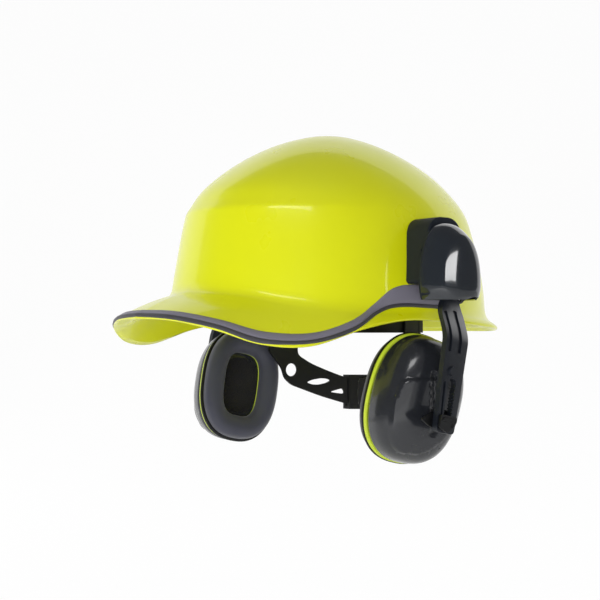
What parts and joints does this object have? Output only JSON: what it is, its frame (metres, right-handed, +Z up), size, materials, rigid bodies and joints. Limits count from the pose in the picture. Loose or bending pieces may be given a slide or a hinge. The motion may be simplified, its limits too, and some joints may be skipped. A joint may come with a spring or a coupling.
{
  "type": "helmet mounted ear defenders",
  "caption": "Cap-style safety helmet with a hi-vis shell, soft grey edge trim, ratchet head harness and a pair of ear defenders on swivelling arms.",
  "frame": {"origin": "inside the helmet in the middle of its mouth, level with the root of the peak, where the wearer's head sits", "axes": "+Z up, -Y towards the peak (the front), +X towards the wearer's left"},
  "size_m": [0.3178, 0.3356, 0.2632],
  "materials": {
    "hi_vis_shell": "gloss",
    "grey_rubber": "matt",
    "graphite_gloss": "gloss",
    "graphite_plastic": "satin",
    "black_plastic": "satin",
    "hi_vis_ring": "satin",
    "cushion_skin": "matt",
    "foam": "matt",
    "webbing": "woven",
    "steel": "satin"
  },
  "bodies": {
    "helmet": {"shell": "hi_vis_shell", "edge_trim": "grey_rubber", "headband": "black_plastic", "sweat_pad": "foam", "cradle_strap_across": "webbing", "cradle_strap_lengthwise": "webbing", "crown_pad": "black_plastic", "strap_key_left": "black_plastic", "strap_key_right": "black_plastic", "strap_key_front": "black_plastic", "strap_key_rear": "black_plastic", "nape_strap_left": "black_plastic", "nape_strap_right": "black_plastic", "bracket_left": "graphite_plastic", "housing_plate_left": "graphite_plastic", "housing_cover_left": "graphite_gloss", "bracket_right": "graphite_plastic", "housing_plate_right": "graphite_plastic", "housing_cover_right": "graphite_gloss"},
    "nape_carriage": {"nape_housing": "black_plastic", "nape_pad": "foam"},
    "ratchet_knob": {"nape_knob": "black_plastic", "nape_pinion": "black_plastic"},
    "swivel_left": {"swivel_block_left": "black_plastic", "hinge_pin_left": "steel", "arm_spring_left": "steel"},
    "arm_left": {"arm_left": "graphite_plastic"},
    "slider_left": {"slider_left": "black_plastic", "slider_clip_left": "black_plastic"},
    "cup_left": {"cup_left": "graphite_plastic", "ring_left": "hi_vis_ring", "cushion_plate_left": "black_plastic", "cushion_left": "cushion_skin", "foam_left": "foam"},
    "swivel_right": {"swivel_block_right": "black_plastic", "hinge_pin_right": "steel", "arm_spring_right": "steel"},
    "arm_right": {"arm_right": "graphite_plastic"},
    "slider_right": {"slider_right": "black_plastic", "slider_clip_right": "black_plastic"},
    "cup_right": {"cup_right": "graphite_plastic", "ring_right": "hi_vis_ring", "cushion_plate_right": "black_plastic", "cushion_right": "cushion_skin", "foam_right": "foam"}
  },
  "joints": [
    {"name": "nape_size", "type": "slide", "parent": "helmet", "child": "nape_carriage", "axis": [0, -1, 0], "range_m": [-0.004, 0.012], "deforming": ["nape_strap_left", "nape_strap_right"]},
    {"name": "knob_turn", "type": "hinge", "parent": "nape_carriage", "child": "ratchet_knob", "pos_m": [0, 0.11, -0.091], "axis": [0, 1, 0], "range_deg": [-40, 116]},
    {"name": "arm_swing_left", "type": "hinge", "parent": "helmet", "child": "swivel_left", "pos_m": [0.134, 0.005, 0.018], "axis": [1, 0, 0], "range_deg": [-4, 6]},
    {"name": "arm_out_left", "type": "hinge", "parent": "swivel_left", "child": "arm_left", "pos_m": [0.141, -0.00048, -0.00895], "axis": [0, -0.9799, 0.1994], "range_deg": [-3, 24], "stiffness_Nm_per_rad": 5},
    {"name": "cup_height_left", "type": "slide", "parent": "arm_left", "child": "slider_left", "axis": [0, 0.1994, 0.9799], "range_m": [-0.0015, 0.006]},
    {"name": "cup_tilt_left", "type": "hinge", "parent": "slider_left", "child": "cup_left", "pos_m": [0.1334, -0.01902, -0.10008], "axis": [0, 0.9799, -0.1994], "range_deg": [-5, 3]},
    {"name": "arm_swing_right", "type": "hinge", "parent": "helmet", "child": "swivel_right", "pos_m": [-0.134, 0.005, 0.018], "axis": [1, 0, 0], "range_deg": [-4, 6]},
    {"name": "arm_out_right", "type": "hinge", "parent": "swivel_right", "child": "arm_right", "pos_m": [-0.141, -0.00048, -0.00895], "axis": [0, 0.9799, -0.1994], "range_deg": [-3, 24], "stiffness_Nm_per_rad": 5},
    {"name": "cup_height_right", "type": "slide", "parent": "arm_right", "child": "slider_right", "axis": [0, 0.1994, 0.9799], "range_m": [-0.0015, 0.006]},
    {"name": "cup_tilt_right", "type": "hinge", "parent": "slider_right", "child": "cup_right", "pos_m": [-0.1334, -0.01902, -0.10008], "axis": [0, -0.9799, 0.1994], "range_deg": [-5, 3]}
  ],
  "couplings": [
    {"joint": "knob_turn", "follows": "nape_size", "rad_per_m": 166}
  ]
}
